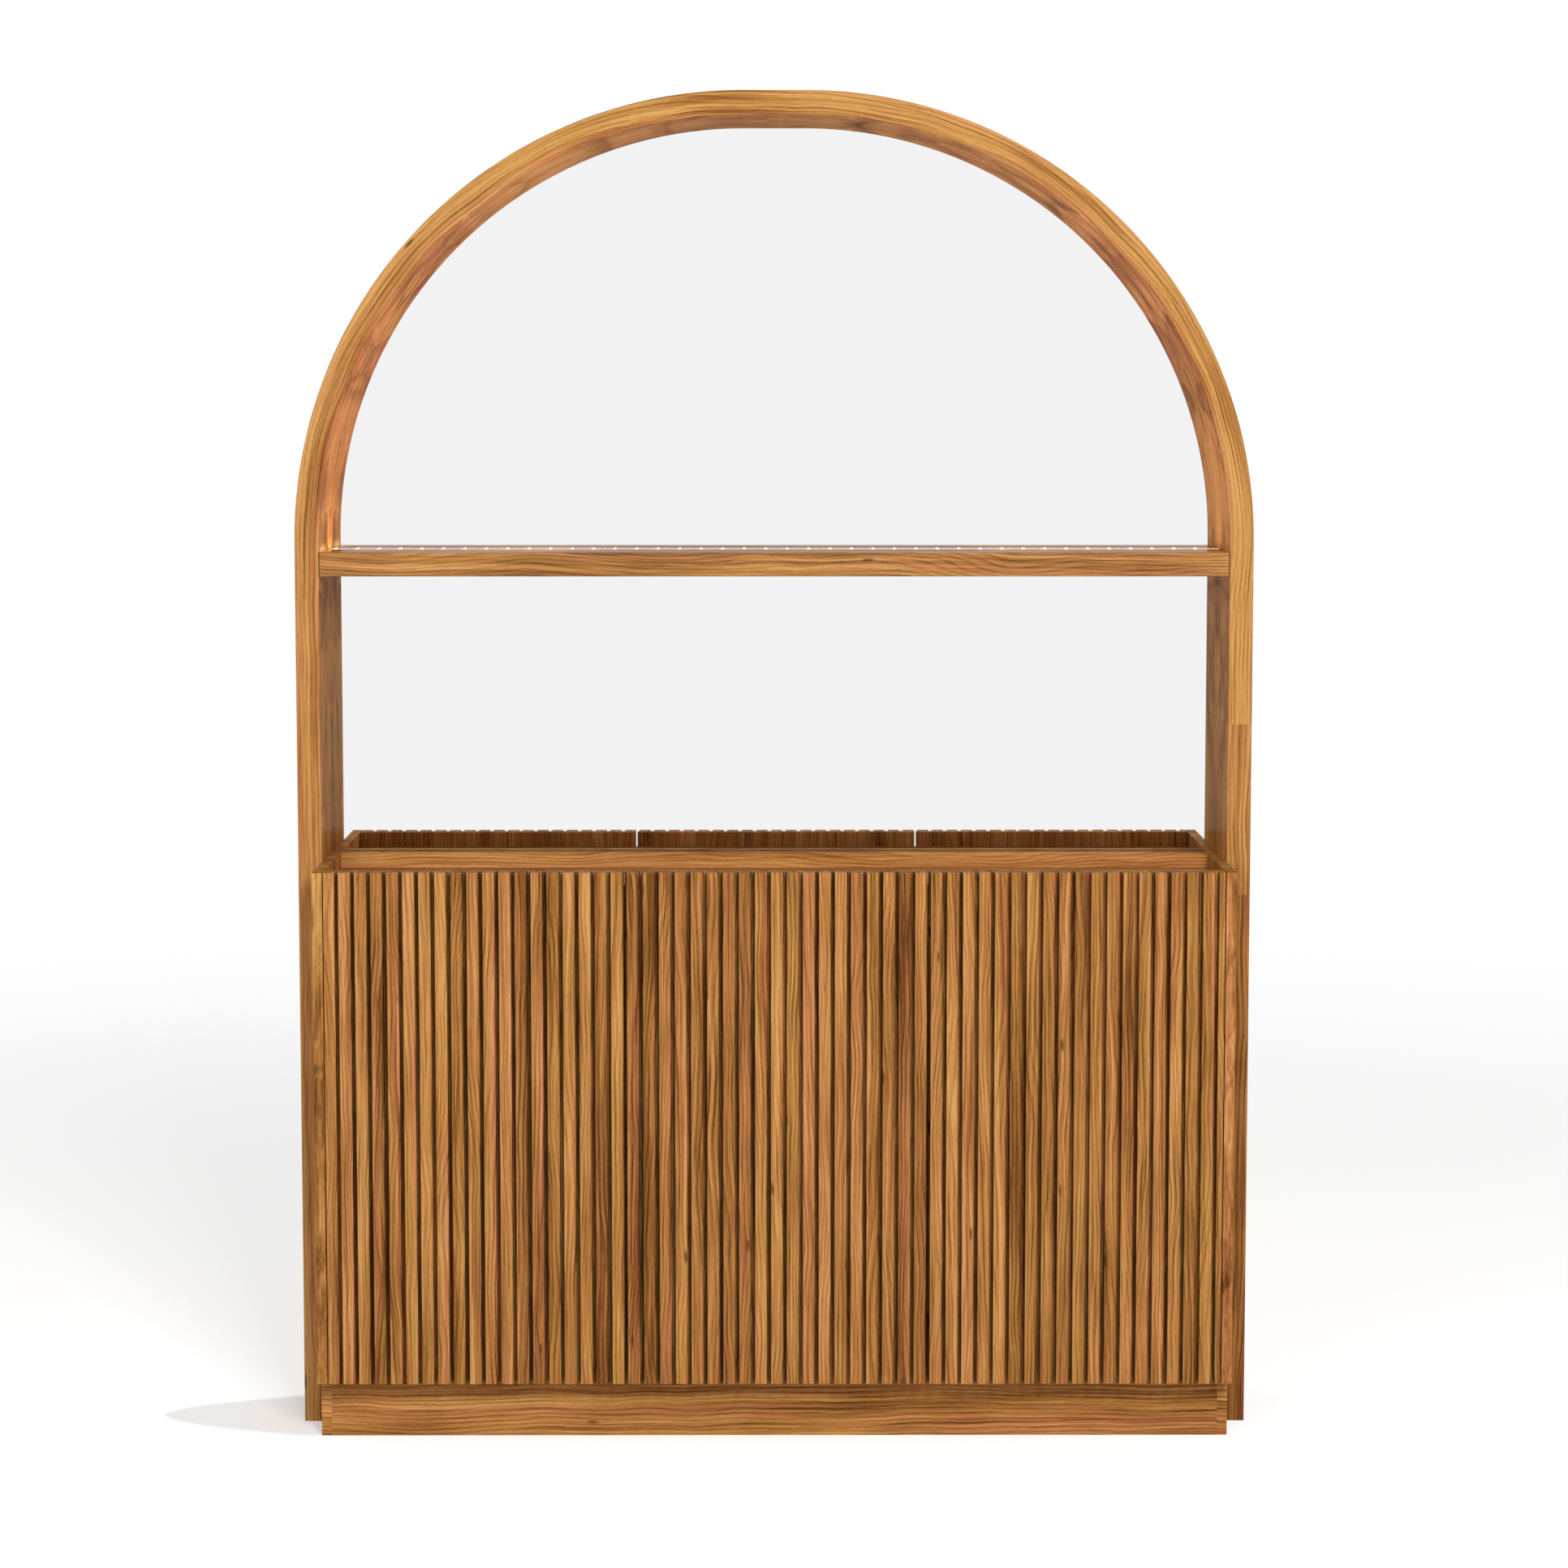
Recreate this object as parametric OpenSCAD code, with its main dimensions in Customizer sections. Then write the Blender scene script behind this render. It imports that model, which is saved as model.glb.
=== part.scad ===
// Back bar cabinet in warm hardwood: an arched frame with a mirror and one lit shelf
// stands over a base cabinet with three slatted doors and a shallow open well on top.
// Millimetres. X runs across, the front faces -Y and Z is up. The origin lies on the
// floor, under the middle of the whole unit.

/* [Overall] */
// Width over the legs of the arch
overall_w = 1524; // [1300:1:1750]
// Height of the crown of the arch above the floor
overall_h = 2134; // [2100:1:2400]
// Height of the cabinet top above the floor
cabinet_h = 913; // [840:1:980]
// How far the door fronts stand in front of the arch
door_reach = 146; // [110:1:220]

/* [Arch rail] */
// Thickness of the rail, seen from the front
rail_t = 38; // [32:1:50]
// Depth of the rail, front to back
rail_d = 184; // [170:1:230]
// Rounding of the rail's front edges
rail_edge = 2; // [0.5:0.5:5]
// Length of the straight crown between the bends
crown_len = 102; // [80:1:300]
// Drop from the cabinet top to the joint in both legs
joint_drop = 53; // [45:1:150]
// Rise from the cabinet top to the second joint in the right leg
joint_rise = 221; // [150:1:300]

/* [Mirror] */
// How far the mirror laps behind the rail
mirror_lap = 4; // [2:0.5:8]
// How far the back board laps behind the rail
board_lap = 12; // [9:0.5:16]
// Side clearance of the mirror and of the back board in their rebates
pane_clear = 0.5; // [0.2:0.1:1]
// Thickness of the mirror
mirror_t = 5; // [3:1:8]
// Foam tape between the rail and the mirror
tape_gap = 1; // [0.5:0.1:2]
// Thickness of the back board
board_t = 12; // [9:1:14]
// How far the back board lies in from the back of the rail
board_inset = 4; // [1:0.5:8]

/* [Shelf] */
// Thickness of the shelf
shelf_t = 38; // [25:1:50]
// Drop from the start of the bends to the top of the shelf
shelf_drop = 15; // [5:1:60]

/* [Light strip] */
// Width of the light tape
tape_w = 10; // [8:1:12]
// Thickness of the light tape
tape_t = 1.5; // [1:0.1:3]
// Distance from the mirror to the middle of the tape
tape_in = 8; // [7:1:40]
// Radius of the foot of a lens
lens_r = 2.4; // [2:0.1:4]
// Height of a lens
lens_h = 1; // [0.8:0.1:3]
// Spacing of the lenses
lens_pitch = 35; // [20:1:60]
// Distance from the left leg to the first lens
lens_start = 10; // [8:1:40]
// Shortest bare end of the tape at the right leg
lens_end = 30; // [10:1:80]
// Length, width and height of the driver of the lights
driver = [150, 42, 26]; // [20:1:250]

/* [Cabinet] */
// Thickness of the side panels
side_t = 16; // [15:1:22]
// Thickness of the deck of the well
deck_t = 19; // [15:1:25]
// Depth of the well below the cabinet top
well_depth = 24; // [15:1:40]
// Thickness of the rail at the back of the well
well_rail_t = 21; // [18:1:40]
// Width of the slot between that rail and the back of the side panels
well_slot = 10; // [2:1:15]
// Thickness of the bottom panel
bottom_t = 19; // [15:1:25]
// Thickness of the two partitions
partition_t = 18; // [16:1:20]
// Height of the toe space
toe_h = 98; // [70:1:130]
// Depth of the toe space behind the door fronts
toe_recess = 57; // [46:1:90]
// Thickness of the toe board and of the rear plinth board
plinth_t = 19; // [15:1:25]
// Thickness of the inner shelves
inner_shelf_t = 18; // [12:1:25]
// Height of the inner shelves above the bottom panel
inner_shelf_h = 300; // [200:1:320]

/* [Doors] */
// Thickness of the door's backing panel
backing_t = 19; // [16:1:24]
// Thickness of the slats
slat_t = 19; // [16:1:24]
// Spacing of the slats that the pattern aims at
slat_aim = 25; // [22:0.5:40]
// Width of the groove between two slats
groove_w = 6.15; // [5:0.05:9]
// How much the right end cuts off the pattern of slats
slat_cut = 14; // [10:0.5:18]
// How far the backing of a door reaches past its last slat
slat_margin = 0.4; // [0:0.1:1]
// Rounding of the long front edges of a slat
slat_edge = 1.5; // [0.5:0.1:3]
// Gap between two doors
door_gap = 3; // [2.6:0.1:5]
// Gap between an outer door and the side panel
side_gap = 1.5; // [1.4:0.1:4]
// Clearance between the carcass and the back corner of a door as it swings
swing_clear = 1.05; // [0.8:0.05:2]

/* [Hinges] */
// Distance of the hinge axis from the hinge edge of the door
hinge_in = 12; // [11:0.1:12.2]
// Distance of the hinge axis behind the slat fronts
hinge_back = 6.5; // [6.2:0.1:7]
// Radius of the hinge pin
pin_r = 2; // [1.5:0.05:2.2]
// Running clearance round the pin
pin_clear = 0.06; // [0.03:0.01:0.1]
// Outer radius of the eye
eye_r = 4; // [3.7:0.05:4.2]
// Height of the eye
eye_h = 14; // [10:1:20]
// Clearance of the eye in the door's pocket
pocket_clear = 0.5; // [0.4:0.1:0.8]
// Height of the pocket above and below the eye
pocket_spare = 2; // [0.5:0.5:4]
// How far the pin reaches into the wood above and below the pocket
pin_grip = 10; // [6:1:20]
// Thickness of the hinge arm
arm_t = 4; // [3:0.5:5]
// Thickness of the mounting plate of the hinge arm
plate_t = 3; // [2:0.5:4]
// Length of the mounting plate
plate_l = 50; // [35:1:70]
// Height of the mounting plate
plate_h = 38; // [25:1:50]
// Distance of the end hinges from the ends of the door
hinge_end = 95; // [60:1:140]

/* [Catches] */
// Width and height of a magnetic catch
catch_size = [12, 40]; // [8:1:60]
// Depth of a magnetic catch
catch_d = 24; // [15:1:40]
// Size of the strike plate on the door
strike_size = [18, 46]; // [12:1:70]
// Thickness of the strike plate
strike_t = 1.5; // [1:0.1:2]
// Gap between the magnet and the strike plate when the door is shut
strike_gap = 0.3; // [0.2:0.1:0.5]
// Distance from the free edge of a door to the middle of its catch
catch_in = 30; // [22:1:60]

/* [Fasteners] */
// Radius of the wooden dowels
dowel_r = 5; // [3:0.5:6]
// Length of the wooden dowels
dowel_l = 60; // [40:1:80]
// Radial clearance of dowels, bolts and pins in their holes
hole_clear = 0.1; // [0.05:0.05:0.2]
// How far the shelf dowels reach into the legs
shelf_dowel_in = 20; // [12:1:28]
// Radius of the bolts that hold the body to the legs
bolt_r = 3; // [2.5:0.5:4]
// Radius and thickness of the bolt heads
bolt_head = [7, 2.5]; // [2:0.5:10]
// How far the bolts reach into the legs
bolt_in = 26; // [15:1:30]
// Radius of the shelf pins
shelf_pin_r = 2.5; // [2:0.25:3]
// How far a shelf pin reaches into the wall
pin_depth = 7; // [5:0.5:7.5]
// Length of the flat tab of a shelf pin
pin_tab = 8; // [6:1:12]
// Height of the tab above the round of the pin
pin_top = 0.5; // [0.2:0.1:2]
// Radius and thickness of the heads of the board screws
screw_head = [3.6, 1.2]; // [1:0.2:5]
// Radius and length of the board screws
screw_shank = [1.7, 22]; // [1:0.1:25]
// Distance of the end screws from the deck and from the start of the bends
screw_end = 60; // [40:5:120]

/* [Hidden] */
$fn = 48;

// Colours
oak = "#b57a42";
oak_light = "#c48c50";
oak_dark = "#8a5a2e";
pale_wood = "#cfa878";
steel = "#b9bcc0";
pale_grey = "#dedfdd";
glass = "#dfe5e8";
warm_white = "#fff1cf";

// Depth places
door_t = backing_t + slat_t;
overall_d = door_reach + rail_d;
front_y = -overall_d / 2;
back_y = overall_d / 2;
arch_y = front_y + door_reach;
board_back_y = back_y - board_inset;
board_y = board_back_y - board_t;
mirror_y = board_y - mirror_t;
lip_y = mirror_y - tape_gap;

// Widths
body_w = overall_w - 2 * rail_t;
inner_w = body_w - 2 * side_t;
slats_per_door = round((inner_w + slat_cut) / 3 / slat_aim);
slat_pitch = (inner_w + slat_cut) / 3 / slats_per_door;
slat_w = slat_pitch - groove_w;

// Left end of slat k, counted from the left side panel across all three doors
function slat_x(k) = -inner_w / 2 + k * slat_pitch;

// Left and right edges of the three doors, which part in the grooves between slats
split_x = [for (n = [1, 2]) slat_x(n * slats_per_door) - groove_w + slat_margin];
door_x = [
  [-inner_w / 2 + side_gap, split_x[0]],
  [split_x[0] + door_gap, split_x[1]],
  [split_x[1] + door_gap, inner_w / 2 - side_gap]
];
partition_x = [for (x = split_x) x + door_gap / 2];

// Heights
bend_r = (overall_w - crown_len) / 2;
spring_z = overall_h - bend_r;
shelf_z = spring_z - shelf_drop;
deck_z = cabinet_h - well_depth;
floor_z = toe_h + bottom_t;
inner_shelf_z = floor_z + inner_shelf_h;
shelf_pin_z = inner_shelf_z - inner_shelf_t - shelf_pin_r - pin_top;
door_h = cabinet_h - toe_h;
bore_r = dowel_r + hole_clear;
low_joint_h = cabinet_h - joint_drop;
high_joint_h = cabinet_h + joint_rise;

// Left and right walls of the three compartments
bay_x = [
  [-inner_w / 2, partition_x[0] - partition_t / 2],
  [partition_x[0] + partition_t / 2, partition_x[1] - partition_t / 2],
  [partition_x[1] + partition_t / 2, inner_w / 2]
];

// Dowel places across the depth of the rail, and the axis in its thickness
dowel_v = [0.15, 0.42, 0.69] * rail_d;
dowel_u = rail_t / 2;
bolt_z = [toe_h + 90, cabinet_h / 2, deck_z - deck_t - 75];
shelf_dowel_v = [for (k = [0, 1]) (dowel_v[k] + dowel_v[k + 1]) / 2];

// Hinge and catch places in the door's own frame. The wall that carries a hinge stands
// at wall_x, one value for each door, and the back corner swings out to swing_r.
wall_x = [-side_gap, (partition_t - door_gap) / 2, (partition_t - door_gap) / 2];
swing_r = norm([hinge_in, door_t - hinge_back]);
carcass_gap = swing_r - (door_t - hinge_back) + swing_clear;
carcass_y = front_y + door_t + carcass_gap;
plate_y = door_t + carcass_gap + 2;
hinge_z = [hinge_end, door_h / 2, door_h - hinge_end];
pocket_h = eye_h + 2 * pocket_spare;
pocket_r = eye_r + pocket_clear;
door_w = [for (x = door_x) x[1] - x[0]];
catch_top = deck_z - deck_t - toe_h;
shelf_pin_y = [carcass_y + 45, lip_y - 40];

// A rectangle with all four corners rounded
module rounded_square(w, d, r) {
  translate([r, 0]) square([w - 2 * r, d]);
  translate([0, r]) square([w, d - 2 * r]);
  for (x = [r, w - r], y = [r, d - r]) translate([x, y]) circle(r = r, $fn = 32);
}

// A rectangle with the two corners at x = 0 rounded
module front_rounded(w, d, r) {
  translate([r, 0]) square([w - r, d]);
  translate([0, r]) square([w, d - 2 * r]);
  for (y = [r, d - r]) translate([r, y]) circle(r = r, $fn = 32);
}

// Section of the arch rail: x runs from the opening outwards and y from front to back.
// Two steps at the back take the mirror and the back board.
module rail_section() {
  difference() {
    rounded_square(rail_t, rail_d, rail_edge);
    translate([-1, lip_y - arch_y]) square([mirror_lap + pane_clear + 1, rail_d]);
    translate([-1, board_y - arch_y]) square([board_lap + pane_clear + 1, rail_d]);
  }
}

// Three dowels that stand upright and are centred on z = 0
module dowel_row(r, l) {
  for (v = dowel_v) translate([dowel_u, arch_y + v, -l / 2]) cylinder(r = r, h = l);
}

// A length of leg from z0 to z1 on the right side, with dowel holes at the ends that are joints
module leg(z0, z1) {
  difference() {
    translate([body_w / 2, arch_y, z0]) linear_extrude(z1 - z0) rail_section();
    for (z = [z0, z1]) if (z > 0) translate([body_w / 2, 0, z]) dowel_row(bore_r, dowel_l + 1);
    leg_holes();
    at_screws() screw_hole();
  }
}

// Holes of the shelf dowels and of the body bolts, right side
module leg_holes() {
  for (v = shelf_dowel_v)
    translate([body_w / 2 - 1, arch_y + v, shelf_z - shelf_t / 2])
      rotate([0, 90, 0]) cylinder(r = bore_r, h = shelf_dowel_in + 1.5);
  bolt_shanks(bolt_r + hole_clear, bolt_in + 1);
}

// Shanks of the body bolts from inside the side panel into the right leg
module bolt_shanks(r, reach) {
  for (z = bolt_z)
    translate([inner_w / 2 - 0.01, arch_y + rail_d / 2, z])
      rotate([0, 90, 0]) cylinder(r = r, h = side_t + reach);
}

// Places what is drawn for the right bend's centre
module at_bend() {
  translate([crown_len / 2, 0, spring_z]) children();
}

// The right bend, a quarter turn from the leg to the crown
module bend() {
  difference() {
    at_bend() translate([0, arch_y, 0]) rotate([90, 0, 0]) rotate_extrude(angle = 90, $fn = 180)
      translate([bend_r - rail_t, 0]) mirror([0, 1]) rail_section();
    translate([body_w / 2, 0, spring_z]) dowel_row(bore_r, dowel_l + 1);
    crown_dowels(bore_r, dowel_l + 1);
    at_screws() screw_hole();
  }
}

// Dowels that lie along X at the right end of the crown
module crown_dowels(r, l) {
  for (v = dowel_v)
    translate([crown_len / 2 - l / 2, arch_y + v, overall_h - dowel_u])
      rotate([0, 90, 0]) cylinder(r = r, h = l);
}

module left_leg_lower() { color(oak) mirror([1, 0, 0]) leg(0, low_joint_h); }
module left_leg_upper() { color(oak_light) mirror([1, 0, 0]) leg(low_joint_h, spring_z); }
module right_leg_lower() { color(oak_light) leg(0, low_joint_h); }
module right_leg_middle() { color(oak) leg(low_joint_h, high_joint_h); }
module right_leg_upper() { color(oak_light) leg(high_joint_h, spring_z); }
module left_bend() { color(oak_light) mirror([1, 0, 0]) bend(); }
module right_bend() { color(oak) bend(); }

module crown_rail() {
  color(oak_light) difference() {
    translate([-crown_len / 2, arch_y, overall_h - rail_t])
      rotate([90, 0, 90]) linear_extrude(crown_len) rotate([0, 0, 90]) mirror([0, 1]) rail_section();
    crown_dowels(bore_r, dowel_l + 1);
    mirror([1, 0, 0]) crown_dowels(bore_r, dowel_l + 1);
  }
}

module arch_dowels() {
  color(pale_wood) {
    for (side = [0, 1]) mirror([side, 0, 0]) {
      translate([body_w / 2, 0, spring_z]) dowel_row(dowel_r, dowel_l);
      translate([body_w / 2, 0, low_joint_h]) dowel_row(dowel_r, dowel_l);
      crown_dowels(dowel_r, dowel_l);
    }
    translate([body_w / 2, 0, high_joint_h]) dowel_row(dowel_r, dowel_l);
  }
}

// Outline of the opening of the arch above z0, grown by lap on its curved and straight sides
module arch_outline(z0, lap) {
  r = bend_r - rail_t + lap;
  half = crown_len / 2;
  translate([-half - r, z0]) square([2 * (half + r), spring_z - z0]);
  translate([-half, spring_z - 1]) square([2 * half, r + 1]);
  for (s = [-1, 1]) translate([s * half, spring_z]) circle(r = r, $fn = 180);
}

// A pane with that outline between two depths
module arch_pane(z0, lap, y0, t) {
  translate([0, y0 + t, 0]) rotate([90, 0, 0]) linear_extrude(t) intersection() {
    arch_outline(z0, lap);
    translate([-overall_w, z0]) square([2 * overall_w, overall_h]);
  }
}

module mirror_pane() { color(glass) arch_pane(deck_z, mirror_lap, mirror_y, mirror_t); }

module back_board() {
  color(pale_wood) difference() {
    arch_pane(deck_z - deck_t, board_lap, board_y, board_t);
    for (side = [0, 1]) mirror([side, 0, 0]) at_screws() screw_hole();
  }
}

// Puts its children at the screws along the right edge of the back board, on its back face
module at_screws() {
  edge = (mirror_lap + board_lap + 2 * pane_clear) / 2;
  r = bend_r - rail_t + edge;
  for (z = [for (k = [0 : 3]) deck_z + screw_end + k * (spring_z - deck_z - 2 * screw_end) / 3])
    translate([body_w / 2 + edge, board_back_y, z]) children();
  for (a = [20, 45, 70])
    translate([crown_len / 2 + r * cos(a), board_back_y, spring_z + r * sin(a)]) children();
}

// A hole with a counterbore for a screw that is driven towards -Y
module screw_hole() {
  rotate([90, 0, 0]) {
    cylinder(r = screw_shank[0] + hole_clear, h = screw_shank[1] + 1);
    translate([0, 0, -1]) cylinder(r = screw_head[0] + hole_clear, h = screw_head[1] + 1);
  }
}

module board_screws() {
  color(steel) for (side = [0, 1]) mirror([side, 0, 0]) at_screws() rotate([90, 0, 0]) {
    cylinder(r = screw_head[0], h = screw_head[1]);
    cylinder(r = screw_shank[0], h = screw_shank[1]);
  }
}

// The shelf has rounded front edges and a groove for the light tape
module shelf() {
  depth = mirror_y - pane_clear - arch_y;
  groove = tape_w + 2 * hole_clear;
  color(oak_light) difference() {
    translate([-body_w / 2, arch_y, shelf_z - shelf_t]) rotate([90, 0, 90]) linear_extrude(body_w)
      front_rounded(depth, shelf_t, rail_edge);
    translate([-body_w, mirror_y - tape_in - groove / 2, shelf_z - tape_t])
      cube([2 * body_w, groove, tape_t + 1]);
    for (side = [0, 1]) mirror([side, 0, 0]) shelf_dowel_row(bore_r, 1);
  }
}

// Dowels from the right end of the shelf into the leg
module shelf_dowel_row(r, extra) {
  for (v = shelf_dowel_v)
    translate([body_w / 2 + shelf_dowel_in - dowel_l * 0.7 - extra, arch_y + v, shelf_z - shelf_t / 2])
      rotate([0, 90, 0]) cylinder(r = r, h = dowel_l * 0.7 + extra);
}

module shelf_dowels() {
  color(pale_wood) for (side = [0, 1]) mirror([side, 0, 0]) shelf_dowel_row(dowel_r, 0);
}

module light_tape() {
  color(warm_white) translate([-body_w / 2, mirror_y - tape_in - tape_w / 2, shelf_z - tape_t])
    cube([body_w, tape_w, tape_t]);
}

// A row of low round lenses, each the cap of a sphere
module light_lenses() {
  run = body_w - lens_start - lens_end;
  ball = (lens_r * lens_r + lens_h * lens_h) / (2 * lens_h);
  color(warm_white) for (k = [0 : floor(run / lens_pitch)])
    translate([-body_w / 2 + lens_start + k * lens_pitch, mirror_y - tape_in, shelf_z])
      difference() {
        translate([0, 0, lens_h - ball]) sphere(r = ball, $fn = 24);
        translate([-2 * ball, -2 * ball, -4 * ball]) cube(4 * ball);
      }
}

// The driver hangs under the deck by a tab at each end
module light_driver() {
  tab = 12;
  color(pale_grey)
    translate([(bay_x[0][0] + bay_x[0][1]) / 2, lip_y - driver[1], deck_z - deck_t]) mirror([0, 0, 1]) {
      translate([-driver[0] / 2, -driver[1] / 2, 0]) linear_extrude(driver[2])
        rounded_square(driver[0], driver[1], 4);
      difference() {
        translate([-driver[0] / 2 - tab, -driver[1] / 4, 0]) cube([driver[0] + 2 * tab, driver[1] / 2, 3]);
        for (s = [-1, 1]) translate([s * (driver[0] + tab) / 2, 0, -1]) cylinder(r = 2.2, h = 5);
      }
    }
}

// The right side panel, notched for the toe space
module side_panel() {
  color(oak) difference() {
    translate([inner_w / 2, front_y, 0]) cube([side_t, lip_y - front_y, cabinet_h]);
    translate([0, front_y - 1, -1]) cube([body_w, toe_recess + 1, toe_h + 1]);
    bolt_shanks(bolt_r + hole_clear, bolt_in);
    shelf_pin_holes(inner_w / 2 - 1);
  }
}

// Holes for the shelf pins, bored towards +X from x0
module shelf_pin_holes(x0) {
  for (y = shelf_pin_y)
    translate([x0, y, shelf_pin_z]) rotate([0, 90, 0]) cylinder(r = shelf_pin_r + hole_clear, h = pin_depth + 2);
}

module left_side() { mirror([1, 0, 0]) side_panel(); }
module right_side() { side_panel(); }

module deck() {
  color(oak) translate([-inner_w / 2, carcass_y, deck_z - deck_t])
    cube([inner_w, board_y - carcass_y, deck_t]);
}

module well_rail() {
  color(oak_light) translate([-inner_w / 2, lip_y - well_slot - well_rail_t, deck_z])
    cube([inner_w, well_rail_t, well_depth]);
}

module bottom_panel() {
  color(oak) translate([-inner_w / 2, carcass_y, toe_h])
    cube([inner_w, lip_y - carcass_y, bottom_t]);
}

module partition(x) {
  color(oak_light) difference() {
    translate([x - partition_t / 2, carcass_y, floor_z])
      cube([partition_t, lip_y - carcass_y, deck_z - deck_t - floor_z]);
    shelf_pin_holes(x + partition_t / 2 - pin_depth - 1);
    mirror([1, 0, 0]) shelf_pin_holes(-x + partition_t / 2 - pin_depth - 1);
  }
}

module left_partition() { partition(partition_x[0]); }
module right_partition() { partition(partition_x[1]); }

module cabinet_back() {
  color(pale_wood) translate([-body_w / 2 + pane_clear, lip_y, toe_h])
    cube([body_w - 2 * pane_clear, board_y - lip_y, deck_z - deck_t - toe_h]);
}

module toe_board() {
  color(oak_dark) translate([-inner_w / 2, front_y + toe_recess, 0]) cube([inner_w, plinth_t, toe_h]);
}

module rear_plinth() {
  color(oak_dark) translate([-inner_w / 2, lip_y - plinth_t, 0]) cube([inner_w, plinth_t, toe_h]);
}

module inner_shelf(n) {
  color(oak_light) translate([bay_x[n][0] + 1, carcass_y + 10, inner_shelf_z - inner_shelf_t])
    cube([bay_x[n][1] - bay_x[n][0] - 2, lip_y - carcass_y - 11, inner_shelf_t]);
}

module left_inner_shelf() { inner_shelf(0); }
module middle_inner_shelf() { inner_shelf(1); }
module right_inner_shelf() { inner_shelf(2); }

// One pin, set into the wall on its left and carrying the shelf on a flat tab
module shelf_pin() {
  rotate([0, 90, 0]) translate([0, 0, -pin_depth]) cylinder(r = shelf_pin_r, h = pin_depth + pin_tab);
  translate([0, -shelf_pin_r, 0]) cube([pin_tab, 2 * shelf_pin_r, shelf_pin_r + pin_top]);
}

module shelf_pins() {
  color(steel) for (bay = bay_x, y = shelf_pin_y) {
    translate([bay[0], y, shelf_pin_z]) shelf_pin();
    translate([bay[1], y, shelf_pin_z]) mirror([1, 0, 0]) shelf_pin();
  }
}

module leg_bolts() {
  color(steel) for (side = [0, 1]) mirror([side, 0, 0]) {
    bolt_shanks(bolt_r, bolt_in);
    for (z = bolt_z)
      translate([inner_w / 2 - bolt_head[1], arch_y + rail_d / 2, z])
        rotate([0, 90, 0]) cylinder(r = bolt_head[0], h = bolt_head[1]);
  }
}

// Puts its children in the frame of door n: x from the hinge edge, y from the slat fronts
// backwards and z from the bottom of the door
module at_door(n) { translate([door_x[n][0], front_y, toe_h]) children(); }

// Pockets in the hinge edge of a door, open to the edge and the back of the door
module hinge_pockets() {
  for (z = hinge_z)
    translate([-1, hinge_back - pocket_r, z - pocket_h / 2])
      cube([hinge_in + pocket_r + 1, door_t, pocket_h]);
}

// The hinge pins of a door, or their holes when grown
module door_pins(r, grip) {
  for (z = hinge_z)
    translate([hinge_in, hinge_back, z - pocket_h / 2 - grip]) cylinder(r = r, h = pocket_h + 2 * grip);
}

module door_backing(n) {
  color(oak) at_door(n) difference() {
    translate([0, slat_t, 0]) cube([door_w[n], backing_t, door_h]);
    hinge_pockets();
  }
}

// Slat k of the pattern with its two long front edges rounded, cut to the edges of door n
module slat(n, k) {
  x0 = max(slat_x(k), door_x[n][0]);
  x1 = min(slat_x(k) + slat_w, door_x[n][1]);
  translate([x0, front_y, toe_h]) linear_extrude(door_h) mirror([1, 0]) rotate(90)
    front_rounded(slat_t, x1 - x0, slat_edge);
}

module door_slats(n) {
  first = n * slats_per_door;
  color(oak_light) {
    difference() {
      slat(n, first);
      at_door(n) hinge_pockets();
      at_door(n) door_pins(pin_r + pin_clear / 2, pin_grip + 0.5);
    }
    for (k = [1 : slats_per_door - 1]) slat(n, first + k);
  }
}

module pins_of_door(n) { color(steel) at_door(n) door_pins(pin_r, pin_grip); }

module strike(n) {
  color(steel) at_door(n)
    translate([door_w[n] - catch_in - strike_size[0] / 2, door_t, catch_top - (catch_size[1] + strike_size[1]) / 2])
      cube([strike_size[0], strike_t, strike_size[1]]);
}

// Arms on the carcass: an eye round the pin, a blade back through the pocket, a block and
// a plate with two screw holes on the wall
module hinge_arms(n) {
  block_w = hinge_in + arm_t / 2 - wall_x[n];
  color(steel) at_door(n) for (z = hinge_z) translate([0, 0, z]) difference() {
    union() {
      translate([hinge_in, hinge_back, -eye_h / 2]) cylinder(r = eye_r, h = eye_h);
      translate([hinge_in - arm_t / 2, hinge_back, -eye_h / 2])
        cube([arm_t, plate_y + plate_l / 2 - hinge_back, eye_h]);
      translate([wall_x[n], plate_y, -eye_h / 2]) cube([block_w, plate_l * 0.6, eye_h]);
      translate([wall_x[n], plate_y, -plate_h / 2]) cube([plate_t, plate_l, plate_h]);
    }
    translate([hinge_in, hinge_back, -eye_h]) cylinder(r = pin_r + pin_clear, h = 2 * eye_h);
    for (v = [-1, 1])
      translate([wall_x[n] - 1, plate_y + plate_l * 0.8, v * plate_h * 0.3])
        rotate([0, 90, 0]) cylinder(r = 2.2, h = plate_t + 2);
  }
}

module left_hinge_arms() { hinge_arms(0); }
module middle_hinge_arms() { hinge_arms(1); }
module right_hinge_arms() { hinge_arms(2); }

module catches() {
  color(steel) for (n = [0 : 2]) at_door(n)
    translate([door_w[n] - catch_in - catch_size[0] / 2, door_t + strike_t + strike_gap, catch_top - catch_size[1]])
      cube([catch_size[0], catch_d, catch_size[1]]);
}

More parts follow.
